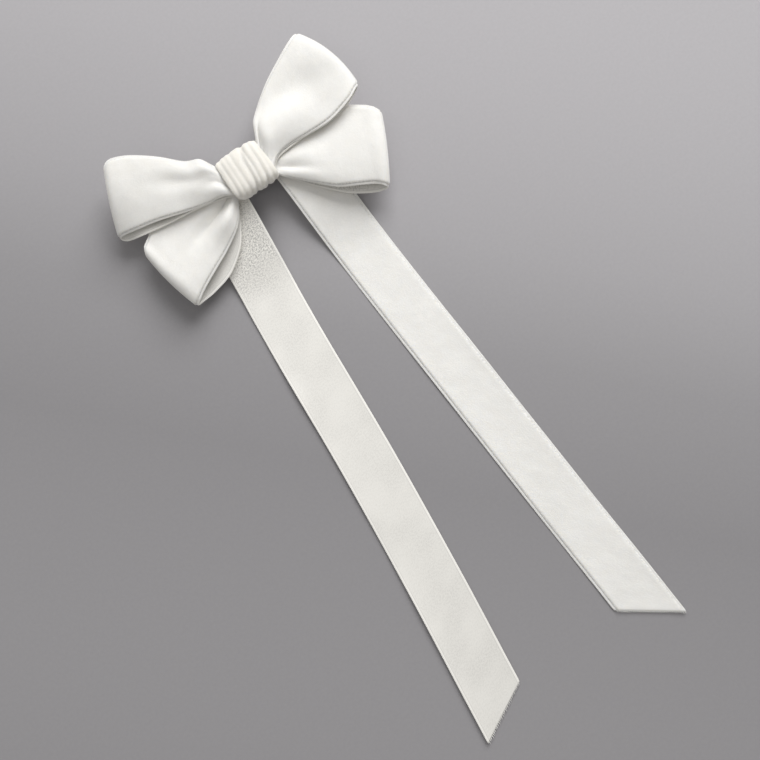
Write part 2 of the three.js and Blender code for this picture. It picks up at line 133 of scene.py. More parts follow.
class HairBowColours(bpy.types.PropertyGroup):
    """Colours of the cloth, the metal and the surface it lies on."""

    pile: FloatVectorProperty(name="Velvet", description="Colour of the pile", subtype="COLOR",
                              size=3, min=0, max=1, default=(0.925, 0.905, 0.86))
    back: FloatVectorProperty(name="Ribbon back", description="Colour of the ribbon's back", subtype="COLOR",
                              size=3, min=0, max=1, default=(0.85, 0.833, 0.79))
    metal: FloatVectorProperty(name="Plated steel", description="Colour of the plated parts", subtype="COLOR",
                               size=3, min=0, max=1, default=(0.72, 0.72, 0.73))
    spring: FloatVectorProperty(name="Spring steel", description="Colour of the springs", subtype="COLOR",
                                size=3, min=0, max=1, default=(0.56, 0.57, 0.6))
    surface: FloatVectorProperty(name="Surface", description="Colour of the surface", subtype="COLOR",
                                 size=3, min=0, max=1, default=(0.33, 0.321, 0.332))


def sizes():
    return bpy.context.scene.hair_bow_ribbons


def stitches():
    return bpy.context.scene.hair_bow_stitches


def colours():
    return bpy.context.scene.hair_bow_colours


# ---------------------------------------------------------------- node helpers
class Tree:
    """Builds a node tree, one node at a time."""

    def give(self, place, value):
        """Feeds an input with a plain value or with another node's output."""
        if isinstance(value, bpy.types.NodeSocket):
            self.tree.links.new(value, place)
        else:
            place.default_value = value

    def node(self, kind, inputs=None, **settings):
        made = self.tree.nodes.new(kind)
        for key, value in settings.items():
            setattr(made, key, value)
        for key, value in (inputs or {}).items():
            self.give(made.inputs[key], value)
        return made


class Shader(Tree):
    """Builds a node material round the usual surface shader."""

    def __init__(self, name):
        self.material = bpy.data.materials.new(name)
        self.material.use_nodes = True
        self.tree = self.material.node_tree

    def set(self, **inputs):
        """Feeds the surface's inputs, named with _ for each space."""
        surface = self.tree.nodes["Principled BSDF"]
        for key, value in inputs.items():
            self.give(surface.inputs[key.replace("_", " ")], value)

    def cloth_mm(self):
        """The cloth's own map, in millimetres across and along."""
        return self.node("ShaderNodeUVMap", uv_map="cloth").outputs["UV"]

    def edge_mm(self):
        """How far each point is from the ribbon's edge, in millimetres."""
        return self.node("ShaderNodeAttribute", attribute_name="edge_mm").outputs["Fac"]

    def object_space(self, scale=(1, 1, 1)):
        where = self.node("ShaderNodeTexCoord").outputs["Object"]
        return self.node("ShaderNodeMapping", {"Vector": where, "Scale": scale}).outputs["Vector"]

    def axes(self, where):
        return self.node("ShaderNodeSeparateXYZ", {"Vector": where}).outputs

    def noise(self, where, scale, detail=2.0, roughness=0.5):
        inputs = {"Vector": where, "Scale": scale, "Detail": detail, "Roughness": roughness}
        return self.node("ShaderNodeTexNoise", inputs).outputs["Fac"]

    def bands(self, where, scale, direction, distortion=0.0):
        inputs = {"Vector": where, "Scale": scale, "Distortion": distortion}
        return self.node("ShaderNodeTexWave", inputs, wave_type="BANDS",
                         bands_direction=direction).outputs["Fac"]

    def ramp(self, value, low, high, out_low=0.0, out_high=1.0):
        """Turns low to high smoothly into out_low to out_high. It runs backwards where low is over high."""
        inputs = {"Value": value, "From Min": low, "From Max": high, "To Min": out_low, "To Max": out_high}
        return self.node("ShaderNodeMapRange", inputs, interpolation_type="SMOOTHSTEP").outputs["Result"]

    def math(self, operation, a, b):
        return self.node("ShaderNodeMath", {0: a, 1: b}, operation=operation).outputs["Value"]

    def mix(self, share, a, b, blend="MIX"):
        """Mixes two colours, each of them three numbers or another node's output."""
        a, b = ((*colour, 1.0) if isinstance(colour, tuple) else colour for colour in (a, b))
        return self.node("ShaderNodeMix", {0: share, 6: a, 7: b}, data_type="RGBA",
                         blend_type=blend).outputs[2]

    def bump(self, height, strength, distance, below=None):
        inputs = {"Height": height, "Strength": strength, "Distance": distance}
        if below is not None:
            inputs["Normal"] = below
        return self.node("ShaderNodeBump", inputs).outputs["Normal"]


class Nodes(Tree):
    """Builds a geometry node tree with named inputs, which is given lines to work along."""

    def __init__(self, name, inputs):
        self.tree = bpy.data.node_groups.new(name, "GeometryNodeTree")
        face = self.tree.interface
        face.new_socket("Geometry", in_out="INPUT", socket_type="NodeSocketGeometry")
        self.ids = {}
        for label, (kind, value) in inputs.items():
            socket = face.new_socket(label, in_out="INPUT", socket_type=kind)
            if value is not None:
                socket.default_value = value
            self.ids[label] = socket.identifier
        face.new_socket("Geometry", in_out="OUTPUT", socket_type="NodeSocketGeometry")
        self.given = self.node("NodeGroupInput").outputs

    def line(self):
        return self.node("GeometryNodeMeshToCurve", {"Mesh": self.given["Geometry"]}).outputs["Curve"]

    def set_along(self, shape, way, wide, long):
        """Sets a unit shape at every Pitch along the lines, sized, with its Z axis turned the given way."""
        spaced = self.node("GeometryNodeResampleCurve", {"Curve": self.line(), "Length": self.given["Pitch"]},
                           mode="LENGTH")
        turn = self.node("FunctionNodeAlignEulerToVector", {"Vector": way}, axis="Z")
        size = self.node("ShaderNodeCombineXYZ", {"X": wide, "Y": wide, "Z": long})
        placed = self.node("GeometryNodeInstanceOnPoints", {
            "Points": spaced.outputs["Curve"], "Instance": shape.outputs["Mesh"],
            "Rotation": turn.outputs["Rotation"], "Scale": size.outputs["Vector"]})
        return placed.outputs["Instances"]

    def finish(self, geometry):
        """Every tree ends in real geometry with its material set."""
        real = self.node("GeometryNodeRealizeInstances", {"Geometry": geometry})
        painted = self.node("GeometryNodeSetMaterial", {
            "Geometry": real.outputs["Geometry"], "Material": self.given["Material"]})
        self.node("NodeGroupOutput", {"Geometry": painted.outputs["Geometry"]})
        return self


# ---------------------------------------------------------------- materials
def shade(colour, factor):
    return tuple(min(1.0, c * factor) for c in colour)


def velvet_material(name, warmth=(1.0, 1.0, 1.0)):
    """Short dense pile: soft tufts, faint crush marks, and a smooth selvage beside a dotted line of painted
    shade at the pile's edge.
    """
    s = Shader(name)
    base = tuple(c * w for c, w in zip(colours().pile, warmth))
    where, edge = s.cloth_mm(), s.edge_mm()
    selvage = sizes().selvage / MM
    crush = s.noise(where, scale=0.09, detail=3.0, roughness=0.55)
    tufts = s.noise(where, scale=1.15, detail=3.0, roughness=0.75)
    pile = s.mix(s.ramp(crush, 0.35, 0.7), shade(base, 0.955), shade(base, 1.015))
    pile = s.mix(s.ramp(tufts, 0.42, 0.62, 0.0, 0.26), pile, shade(base, 0.88))
    # Painted shade: a dark dotted line where the pile steps up from the selvage.
    rim = s.math("MULTIPLY", s.ramp(edge, selvage, selvage + 0.15),
                 s.ramp(edge, selvage + 1.3, selvage + 0.2))
    pile = s.mix(s.math("MULTIPLY", rim, s.ramp(tufts, 0.44, 0.56, 0.05, 0.6)), pile, shade(base, 0.6))
    weave = s.bands(where, scale=1.1, direction="Y", distortion=0.6)
    woven = s.mix(s.ramp(weave, 0.2, 0.8, 0.0, 0.5), shade(base, 1.07), shade(base, 0.95))
    on_selvage = s.ramp(edge, selvage + 0.12, selvage)
    soft = s.bump(crush, strength=0.25, distance=0.0008)
    fine = s.bump(tufts, strength=0.4, distance=0.00026, below=soft)
    s.set(Base_Color=s.mix(on_selvage, pile, woven), Roughness=s.ramp(on_selvage, 0, 1, 0.92, 0.55),
          Normal=s.bump(weave, strength=0.12, distance=0.0001, below=fine))
    s.set(Sheen_Weight=0.8, Sheen_Roughness=0.5, Sheen_Tint=(1, 0.99, 0.97, 1), Specular_IOR_Level=0.15)
    s.set(Subsurface_Weight=0.4, Subsurface_Radius=(1.0, 0.93, 0.82), Subsurface_Scale=0.0022)
    return s.material


def back_material(name):
    """The ribbon's back: a satin ground whose sparkle is painted, fine grains lighter on a ground darker
    between them, most of all near the knot.
    """
    s = Shader(name)
    base = tuple(colours().back)
    where, edge = s.cloth_mm(), s.edge_mm()
    selvage = sizes().selvage / MM
    # Painted light and shade: the satin's glints are painted as lighter grains, with the ground between them
    # painted darker, strongest near the knot.
    near_knot = s.ramp(s.axes(where)["Y"], 62.0, 34.0, 0.36, 1.0)
    grains = s.noise(where, scale=1.35, detail=3.0, roughness=0.9)
    painted_glint = s.math("MULTIPLY", s.ramp(grains, 0.45, 0.53), near_knot)
    ground = s.mix(painted_glint, s.mix(near_knot, shade(base, 0.99), shade(base, 0.6)), shade(base, 1.17))
    cloudy = s.noise(where, scale=0.05)
    ground = s.mix(s.ramp(cloudy, 0.3, 0.7, 0.0, 0.5), ground, shade(base, 1.06))
    rim = s.math("MULTIPLY", s.ramp(edge, selvage, selvage + 0.1),
                 s.ramp(edge, selvage + 0.5, selvage + 0.15))
    ground = s.mix(s.math("MULTIPLY", rim, 0.5), ground, shade(base, 0.7))
    on_selvage = s.ramp(edge, selvage + 0.1, selvage)
    s.set(Base_Color=s.mix(on_selvage, ground, shade(base, 1.09)),
          Roughness=s.ramp(painted_glint, 0, 1, 0.55, 0.36), Sheen_Weight=0.15, Sheen_Roughness=0.4,
          Specular_IOR_Level=0.5, Normal=s.bump(grains, strength=0.3, distance=0.00012))
    return s.material


def edge_material(name):
    """The smooth, tightly woven outer edge of a ribbon."""
    s = Shader(name)
    base = tuple(colours().pile)
    grain = s.noise(s.object_space(), scale=900.0)
    s.set(Base_Color=s.mix(s.ramp(grain, 0.3, 0.7), base, shade(base, 1.1)), Roughness=0.6,
          Sheen_Weight=0.2, Normal=s.bump(grain, strength=0.2, distance=0.0001))
    return s.material


def thread_material(name):
    """Wound cotton thread with its twist."""
    s = Shader(name)
    twist = s.bands(s.object_space(), scale=900.0, direction="DIAGONAL")
    s.set(Base_Color=s.mix(twist, (0.66, 0.64, 0.59), (0.84, 0.82, 0.78)), Roughness=0.8,
          Sheen_Weight=0.2, Normal=s.bump(twist, strength=0.5, distance=0.00015))
    return s.material


def glue_material(name):
    """Set hot-melt glue: milky, slightly yellow and smooth."""
    s = Shader(name)
    cloud = s.noise(s.object_space(), scale=260.0, detail=3.0)
    s.set(Base_Color=s.mix(cloud, (0.74, 0.7, 0.58), (0.82, 0.79, 0.68)),
          Roughness=s.ramp(cloud, 0.3, 0.7, 0.24, 0.42), Subsurface_Weight=0.25, Subsurface_Scale=0.002,
          Normal=s.bump(cloud, strength=0.2, distance=0.0003))
    return s.material


def metal_material(name, colour, roughness, lines):
    """Sheet metal with rolling lines along the clip, faint handling marks and softly worn high spots."""
    s = Shader(name)
    rolled = s.noise(s.object_space((60, lines, lines)), scale=1.0, detail=4.0, roughness=0.6)
    marks = s.noise(s.object_space(), scale=220.0, detail=5.0, roughness=0.65)
    tone = s.mix(s.ramp(rolled, 0.3, 0.7), shade(colour, 0.9), shade(colour, 1.06))
    worn = s.math("ADD", s.ramp(rolled, 0.25, 0.75, roughness - 0.06, roughness + 0.06),
                  s.ramp(marks, 0.5, 0.8, 0.0, 0.12))
    dents = s.bump(marks, strength=0.05, distance=0.00005)
    s.set(Base_Color=s.mix(s.ramp(marks, 0.55, 0.8, 0.0, 0.35), tone, shade(colour, 0.72)), Roughness=worn,
          Metallic=1.0, Normal=s.bump(rolled, strength=0.08, distance=0.00005, below=dents))
    return s.material


def surface_material(name):
    """A matt painted surface with a fine grain, and painted light: its colour is paler towards the lamp and
    darker away from it, standing in for the light's fall-off.
    """
    s = Shader(name)
    base = tuple(colours().surface)
    place = s.axes(s.object_space())
    # Painted light and shade: the colour is stepped along the way towards the lamp, in place of the light
    # falling off across the surface.
    towards = s.math("ADD", s.math("MULTIPLY", place["X"], 0.71), s.math("MULTIPLY", place["Y"], 0.70))
    painted_falloff = s.node("ShaderNodeValToRGB", {"Fac": s.ramp(towards, -0.25, 0.11)})
    falloff_stops = ((0.0, 0.98), (0.3, 0.86), (0.55, 0.96), (0.75, 1.16), (1.0, 1.32))
    for _ in falloff_stops[2:]:
        painted_falloff.color_ramp.elements.new(0.5)
    for stop, (at, level) in zip(painted_falloff.color_ramp.elements, falloff_stops):
        stop.position = at
        stop.color = (*shade(base, level), 1)
    grain = s.noise(s.object_space(), scale=700.0, detail=3.0, roughness=0.6)
    grain = s.mix(grain, (0.95, 0.95, 0.95), (1.05, 1.05, 1.05))
    s.set(Base_Color=s.mix(1.0, painted_falloff.outputs["Color"], grain, "MULTIPLY"), Roughness=0.85,
          Specular_IOR_Level=0.2)
    return s.material


def material(name, make, *extra):
    """The named material, made when it's first asked for."""
    return bpy.data.materials.get(name) or make(name, *extra)


def pile_finish():
    return material("velvet_pile", velvet_material)


def edge_finish():
    return material("woven_edge", edge_material)


def ribbon_finishes():
    return [pile_finish(), material("satin_back", back_material), edge_finish()]


# ---------------------------------------------------------------- mesh work
PICK_ROWS = 3  # an edge pick's line follows every third row of the ribbon
SELVAGE_STEP = 0.00012  # between the points on either side of the pile's step
PILE_SLOPE = 0.0007  # across the ribbon, from the selvage to full pile
EDGE_ROUND = 0.0003  # across the ribbon, over which its edge is rounded
CUT_ROUND = 0.0004  # along the ribbon, from a cut end to its full thickness
CUT_SHARE = 0.55  # the pile side's thickness at a cut end, as a share
PRESSED_TO, PRESSED_FADE = 0.0155, 0.004  # how far from the bow's middle the pile is pressed, and fades
PRESSED_SHARE = 0.7  # how much of its height is lost there


def smooth(t):
    k = np.clip(t, 0.0, 1.0)
    return k * k * (3 - 2 * k)


def run_along(line):
    """How far along a line each of its points is."""
    return np.concatenate([[0], np.cumsum(np.linalg.norm(np.diff(line, axis=0), axis=1))])


def spline(points, count):
    """A curve through the points, with as many values as each holds, in even steps by its first three."""
    p = np.array(points, float)
    p = np.vstack([2 * p[0] - p[1], p, 2 * p[-1] - p[-2]])
    fine = []
    for i in range(1, len(p) - 2):
        t = np.linspace(0, 1, 24, endpoint=i == len(p) - 3)[:, None]
        a, b, c, d = p[i - 1], p[i], p[i + 1], p[i + 2]
        fine.append(0.5 * (2 * b + (c - a) * t + (2 * a - 5 * b + 4 * c - d) * t**2
                           + (3 * b - a - 3 * c + d) * t**3))
    fine = np.vstack(fine)
    run = run_along(fine[:, :3])
    want = np.linspace(0, run[-1], count)
    return np.column_stack([np.interp(want, run, fine[:, k]) for k in range(fine.shape[1])])


def normals_of(grid):
    n = np.cross(np.gradient(grid, axis=0), np.gradient(grid, axis=1))
    return n / np.maximum(np.linalg.norm(n, axis=2, keepdims=True), 1e-12)


def squared(angle, power):
    """How far a rounded square's rim stands out past its circle, at each angle."""
    return (np.abs(np.cos(angle)) ** power + np.abs(np.sin(angle)) ** power) ** (-1 / power)


def across_steps(width, count):
    """Where the points lie across a ribbon, from -1 to 1, close together at the selvages."""
    rim = 2 * sizes().selvage / width
    step = 2 * SELVAGE_STEP / width
    inner = np.linspace(-1 + rim + 4 * step, 1 - rim - 4 * step, count)
    left = -1 + np.array([0, step, rim * 0.55, rim - step, rim, rim + step, rim + 2.5 * step])
    return np.concatenate([left, inner, -left[::-1]])


def put_in_scene(name, data):
    made = bpy.data.objects.new(name, data)
    bpy.context.scene.collection.objects.link(made)
    return made


def corners_of(mesh):
    """The point at each corner of each face."""
    corners = np.zeros(len(mesh.loops), np.int32)
    mesh.loops.foreach_get("vertex_index", corners)
    return corners


def put_cloth_map(mesh, corner_mm, edge_mm):
    """Stores the cloth's own map and each point's distance from the ribbon's edge, in millimetres."""
    uv = mesh.uv_layers.new(name="cloth")
    uv.data.foreach_set("uv", corner_mm.ravel().astype(np.float32))
    rim = mesh.attributes.new("edge_mm", "FLOAT", "POINT")
    rim.data.foreach_set("value", edge_mm.astype(np.float32))


def ribbon_mesh(name, grid, across, width, pile_up, gathered=False):
    """A ribbon with a pile side, a back and woven edges. grid is its middle surface, along by across."""
    nv, nu = grid.shape[:2]
    cloth, pile, selvage = sizes().cloth, sizes().pile, sizes().selvage
    edge = (1 - np.abs(across)) * width / 2
    tall = smooth((edge - selvage) / PILE_SLOPE)
    lap = smooth((edge + EDGE_ROUND / 3) / EDGE_ROUND)
    normal = normals_of(grid) * (1 if pile_up else -1)
    run = run_along(grid[:, nu // 2])
    end = smooth(np.minimum(run, run[-1] - run) / CUT_ROUND)
    left_up = np.ones((nv, nu))  # the share of the pile that the knot leaves standing
    if gathered:
        left_up -= PRESSED_SHARE * smooth((PRESSED_TO - np.abs(grid[..., 0])) / PRESSED_FADE)
    height = cloth / 2 * lap[None, :] + pile * tall[None, :] * left_up
    face = grid + normal * (height * (CUT_SHARE + (1 - CUT_SHARE) * end)[:, None])[..., None]
    back = grid - normal * (cloth / 2 * lap)[None, :, None]
    points = np.vstack([face.reshape(-1, 3), back.reshape(-1, 3)])
    at = np.arange(nv * nu).reshape(nv, nu)
    a, b, c, d = at[:-1, :-1].ravel(), at[:-1, 1:].ravel(), at[1:, 1:].ravel(), at[1:, :-1].ravel()
    under = nv * nu
    top = np.column_stack([a, b, c, d])
    bottom = np.column_stack([a, d, c, b]) + under
    rims = [np.column_stack([line[:-1], line[:-1] + under, line[1:] + under, line[1:]])
            for line in (at[:, 0][::-1], at[:, -1], at[0], at[-1][::-1])]
    quads = np.vstack([top, bottom, *rims])
    if pile_up:
        quads = quads[:, ::-1]
    mesh = bpy.data.meshes.new(name)
    mesh.from_pydata(points.tolist(), [], quads.tolist())
    slots = np.repeat([0, 1, 2], [len(top), len(bottom), len(quads) - 2 * len(top)])
    mesh.polygons.foreach_set("material_index", slots.astype(np.int32))
    mesh.polygons.foreach_set("use_smooth", np.ones(len(quads), bool))
    where = np.column_stack([np.tile((across + 1) * width / 2 / MM, nv), np.repeat(run / MM, nu)])
    put_cloth_map(mesh, np.vstack([where, where])[corners_of(mesh)], np.tile(edge / MM, 2 * nv))
    for finish in ribbon_finishes():
        mesh.materials.append(finish)
    mesh.validate()
    return put_in_scene(name, mesh)


# ---------------------------------------------------------------- geometry node trees
NODES = {}  # the three trees, by what they grow


def bead_tree():
    """Beads laid end to end along each line, such as the picks of a woven edge."""
    g = Nodes("beads_along_lines", {
        "Pitch": ("NodeSocketFloat", 0.0007), "Length": ("NodeSocketFloat", 0.0006),
        "Width": ("NodeSocketFloat", 0.0003), "Material": ("NodeSocketMaterial", None)})
    bead = g.node("GeometryNodeMeshIcoSphere", {"Radius": 0.5, "Subdivisions": 1})
    tangent = g.node("GeometryNodeInputTangent").outputs["Tangent"]
    return g.finish(g.set_along(bead, tangent, g.given["Width"], g.given["Length"]))


def fibre_tree():
    """Loose fibres that lean outwards, at random, from each line."""
    g = Nodes("fibres_along_lines", {
        "Pitch": ("NodeSocketFloat", 0.0002), "Length": ("NodeSocketFloat", 0.0007),
        "Thickness": ("NodeSocketFloat", 0.00006), "Lean": ("NodeSocketFloat", 0.7),
        "Out": ("NodeSocketVector", None), "Seed": ("NodeSocketInt", 1),
        "Material": ("NodeSocketMaterial", None)})
    fibre = g.node("GeometryNodeMeshCone", {"Vertices": 3, "Radius Top": 0.15, "Radius Bottom": 0.5,
                                            "Depth": 1.0})
    scatter = g.node("FunctionNodeRandomValue", {0: (-1, -1, -1), 1: (1, 1, 1), "Seed": g.given["Seed"]},
                     data_type="FLOAT_VECTOR")
    lean = g.node("ShaderNodeVectorMath", {0: scatter.outputs[0], "Scale": g.given["Lean"]},
                  operation="SCALE")
    way = g.node("ShaderNodeVectorMath", {0: lean.outputs["Vector"], 1: g.given["Out"]}, operation="ADD")
    longer = g.node("FunctionNodeRandomValue", {2: 0.5, 3: 1.15, "Seed": g.given["Seed"]}, data_type="FLOAT")
    length = g.node("ShaderNodeMath", {0: longer.outputs[1], 1: g.given["Length"]}, operation="MULTIPLY")
    return g.finish(g.set_along(fibre, way.outputs["Vector"], g.given["Thickness"], length.outputs["Value"]))


def coil_tree():
    """One thread swept along each line."""
    g = Nodes("thread_along_lines", {
        "Thickness": ("NodeSocketFloat", 0.0006), "Material": ("NodeSocketMaterial", None)})
    half = g.node("ShaderNodeMath", {0: g.given["Thickness"], 1: 0.5}, operation="MULTIPLY")
    rim = g.node("GeometryNodeCurvePrimitiveCircle", {"Resolution": 8, "Radius": half.outputs["Value"]})
    swept = g.node("GeometryNodeCurveToMesh", {"Curve": g.line(), "Profile Curve": rim.outputs["Curve"],
                                               "Fill Caps": True})
    return g.finish(swept.outputs["Mesh"])


def make_trees():
    """Makes the three trees once."""
    if not NODES:
        NODES.update(beads=bead_tree(), fibres=fibre_tree(), coil=coil_tree())


def grown(name, lines, nodes, values):
    """Runs a tree on lines, each a row of points, and returns the result as one plain mesh."""
    points, edges = [], []
    for line in lines:
        first = len(points)
        points += [tuple(p) for p in line]
        edges += [(first + i, first + i + 1) for i in range(len(line) - 1)]
    mesh = bpy.data.meshes.new(name + "_lines")
    mesh.from_pydata(points, edges, [])
    carrier = put_in_scene(name + "_lines", mesh)
    modifier = carrier.modifiers.new("nodes", "NODES")
    modifier.node_group = nodes.tree
    for label, value in values.items():
        modifier[nodes.ids[label]] = value
    bpy.context.view_layer.update()
    shown = carrier.evaluated_get(bpy.context.evaluated_depsgraph_get())
    made = put_in_scene(name, bpy.data.meshes.new_from_object(shown))
    made.data.name = name
    carrier.modifiers.remove(modifier)
    bpy.data.objects.remove(carrier)
    made.data.polygons.foreach_set("use_smooth", np.ones(len(made.data.polygons), bool))
    return made


def edge_picks(name, grid, width):
    """The picks of the weave, which show as beads along both edges of a ribbon."""
    return grown(name + "_edge_picks", [grid[::PICK_ROWS, 0], grid[::PICK_ROWS, -1]], NODES["beads"], {
        "Pitch": stitches().pick_pitch, "Length": stitches().pick_size, "Width": width,
        "Material": edge_finish()})


# ---------------------------------------------------------------- the loops
# Each rib of a loop is one line across the ribbon, from the waist out to the fold along the top layer and
# back along the bottom layer: its edge towards +Y (x, y, height over the surface), its edge towards -Y,
# and how far its middle bulges up. Millimetres.
WAIST_HALF = 7.3  # half the gathered width inside the knot
WAIST_LEVELS = {"lower": (16.0, 17.7), "upper": (20.1, 22.05)}  # bottom and top layer inside the knot

UPPER_RIGHT = [
    (10.9, 9.4, 21.4, 11.1, -5.0, 21.2, 1.5),
    (14.6, 16.6, 20.2, 15.8, -1.8, 19.5, 4.4),
    (19.9, 21.8, 20.0, 22.6, -0.8, 19.2, 4.6),
    (28.8, 28.0, 20.9, 32.2, -1.6, 19.6, 2.8),
    (39.4, 33.6, 21.9, 43.0, -2.0, 20.5, 0.3),
    (46.8, 37.2, 22.3, 54.2, 0.4, 21.9, 0.2),
    (50.8, 39.0, 21.3, 59.8, 3.2, 21.4, 1.0),
    (52.2, 39.6, 18.8, 62.0, 4.5, 19.4, 1.4),
    (50.8, 38.8, 16.6, 60.0, 3.4, 17.8, 0.6),
    (46.2, 36.4, 16.0, 54.0, 0.4, 17.8, 0.0),
    (36.0, 31.6, 16.0, 42.0, -1.8, 18.0, 0.2),
    (25.0, 24.0, 16.8, 28.0, -1.4, 18.4, 0.5),
    (14.6, 14.8, 17.7, 15.8, -2.4, 18.6, 0.3),
    (10.9, 8.6, 19.3, 11.1, -5.4, 19.2, 0.2),
]
UPPER_LEFT = [
    (-10.9, 8.6, 21.3, -11.1, -6.6, 21.4, 0.9),
    (-14.8, 15.2, 20.8, -15.6, -4.2, 20.8, 3.4),
    (-21.0, 18.8, 20.2, -22.7, -3.0, 19.9, 3.4),
    (-29.5, 26.8, 21.0, -33.0, -0.2, 19.0, 1.4),
    (-39.3, 34.0, 21.6, -45.0, 3.8, 17.4, 1.2),
    (-46.2, 37.2, 21.6, -55.8, 6.6, 15.2, 2.2),
    (-49.6, 37.6, 20.8, -61.6, 8.2, 13.2, 2.6),
    (-50.9, 37.0, 18.4, -63.8, 8.4, 10.6, 2.2),
    (-49.4, 36.6, 15.8, -61.6, 6.2, 9.6, 1.0),
    (-43.6, 34.2, 15.0, -54.0, 3.4, 13.0, 0.4),
    (-32.5, 26.6, 15.4, -41.0, 0.6, 15.2, 0.4),
    (-22.0, 18.0, 17.0, -28.0, -1.8, 17.9, 0.4),
    (-14.8, 13.4, 17.9, -15.8, -4.6, 18.7, 0.4),
    (-10.9, 8.0, 19.4, -11.1, -6.8, 19.5, 0.2),
]
LOWER_RIGHT = [
    (10.9, 7.0, 16.9, 11.1, -9.2, 16.6, 0.8),
    (16.2, 7.8, 14.5, 15.0, -12.8, 14.9, 1.2),
    (26.5, 8.6, 13.9, 21.8, -19.6, 13.9, 2.5),
    (36.5, 8.4, 13.6, 29.8, -27.2, 14.0, 2.4),
    (47.0, 5.4, 14.4, 38.2, -32.2, 14.8, 2.0),
    (56.0, -0.6, 15.8, 44.2, -35.6, 15.0, 1.8),
    (62.0, -5.6, 16.8, 47.0, -38.2, 14.8, 1.8),
    (64.6, -9.2, 14.8, 48.4, -39.6, 12.4, 1.6),
    (62.4, -6.6, 12.0, 47.0, -39.2, 10.0, 0.6),
    (54.6, 0.8, 11.2, 42.4, -37.2, 8.6, 0.4),
    (42.0, 8.2, 11.4, 33.6, -31.6, 8.8, 0.6),
    (28.0, 9.2, 12.2, 24.0, -22.6, 10.4, 0.6),
    (16.2, 8.2, 13.8, 15.2, -13.0, 13.2, 0.3),
    (10.9, 7.0, 15.5, 11.1, -8.4, 15.4, 0.1),
]
LOWER_LEFT = [
    (-10.9, 7.0, 16.9, -11.1, -9.0, 16.8, 0.8),
    (-17.2, 8.2, 13.9, -13.8, -13.2, 15.1, 1.7),
    (-27.0, 9.2, 12.5, -18.6, -18.4, 15.1, 2.4),
    (-37.5, 9.0, 11.4, -27.0, -23.4, 13.9, 2.0),
    (-47.5, 6.0, 10.7, -36.0, -27.8, 13.7, 2.2),
    (-53.8, 1.6, 11.2, -44.4, -32.0, 13.4, 2.7),
    (-56.9, -1.0, 12.4, -49.0, -34.8, 12.8, 2.6),
    (-58.0, -3.2, 10.6, -51.4, -36.2, 10.8, 1.8),
    (-56.4, -1.4, 8.4, -49.2, -35.6, 8.6, 0.6),
    (-49.0, 5.6, 8.2, -41.4, -34.4, 7.4, 0.2),
    (-37.5, 9.4, 9.8, -31.0, -31.4, 8.2, 0.4),
    (-26.5, 9.8, 11.3, -20.6, -23.8, 10.5, 0.6),
    (-16.2, 8.4, 12.6, -14.2, -13.8, 12.5, 0.4),
    (-10.9, 7.0, 15.4, -11.1, -8.4, 15.4, 0.1),
]
# Folds that run out from the knot: where across the ribbon they lie at the waist and at the fold, how wide
# and how high they are (below 0 is a valley), and how far out along the top layer they peak and spread.
FOLDS = {
    "upper_right": [(0.85, 0.8, 0.2, 1.4, 0.37, 0.07), (1.67, -0.49, 0.4, -2.3, 0.62, 0.16),
                    (-0.2, -0.3, 0.35, 0.6, 0.4, 0.07), (0.55, 0.5, 0.16, -0.9, 0.35, 0.06)],
    "upper_left": [(0.5, 0.3, 0.3, 1.8, 0.38, 0.08), (0.9, 0.85, 0.2, 0.7, 0.42, 0.05),
                   (0.0, 0.1, 0.3, -1.5, 0.56, 0.11), (-0.3, -0.3, 0.2, -1.0, 0.36, 0.08),
                   (-0.75, -0.75, 0.25, 0.8, 0.4, 0.08)],
    "lower_right": [(-0.1, -0.05, 0.2, 0.7, 0.44, 0.1), (-0.45, -0.5, 0.16, -0.8, 0.42, 0.12),
                    (-0.72, -0.75, 0.16, 0.6, 0.43, 0.13)],
    "lower_left": [(-0.32, -0.12, 0.17, -3.7, 0.5, 0.14), (-0.68, -0.62, 0.18, 2.7, 0.46, 0.14),
                   (0.1, 0.15, 0.3, 0.6, 0.55, 0.12)],
}
# How much the crown leans towards the ribbon's -Y edge, and how deeply the hidden bottom layer is gathered.
LEAN = {"upper_right": 0.0, "upper_left": 0.0, "lower_right": 0.7, "lower_left": 0.6}
UNDER = {"upper_right": 1.0, "upper_left": 1.25, "lower_right": 0.0, "lower_left": 0.0}
# How far the middle of each fold line stands out past its two corners.
BOWED = {"upper_right": 3.0, "upper_left": 0.4, "lower_right": 0.7, "lower_left": 1.2}
IN_KNOT = (5.0, 9.4)  # rows of each loop inside the knot, from the bow's middle
END_GAP = 0.3  # from the middle to each end of the ribbon
GATHERS = 2.5  # pleats from the ribbon's middle to its edge, where it leaves the knot
GATHER_HEIGHT = 0.62  # of a pleat, at the knot
GATHER_SHIFT = 0.08  # how far the pleats are set off to one side
GATHER_START = 8.5  # from the bow's middle, where the pleats begin to die away
GATHER_REACH = (1.8, 3.0)  # how soon they die away, on the top layer and under it
TIP_RIB = 7  # which rib of each loop lies at the tip of its fold, counted from 0
# These are on a scale with the waist at 0, the fold at 1 and the bottom layer past 1.
HIDDEN_FROM, HIDDEN_TO = 1.1, 1.56  # where the bottom layer's gathers begin and end
BOW_SPREAD = 0.45  # how far from the fold its bowing dies away
LOOP_POINTS = 45  # across the ribbon, between its two selvages
LOOP_ROWS = 150  # along the ribbon, in each loop
LOOP_PICK = 0.0004  # how thick the woven edge's picks are


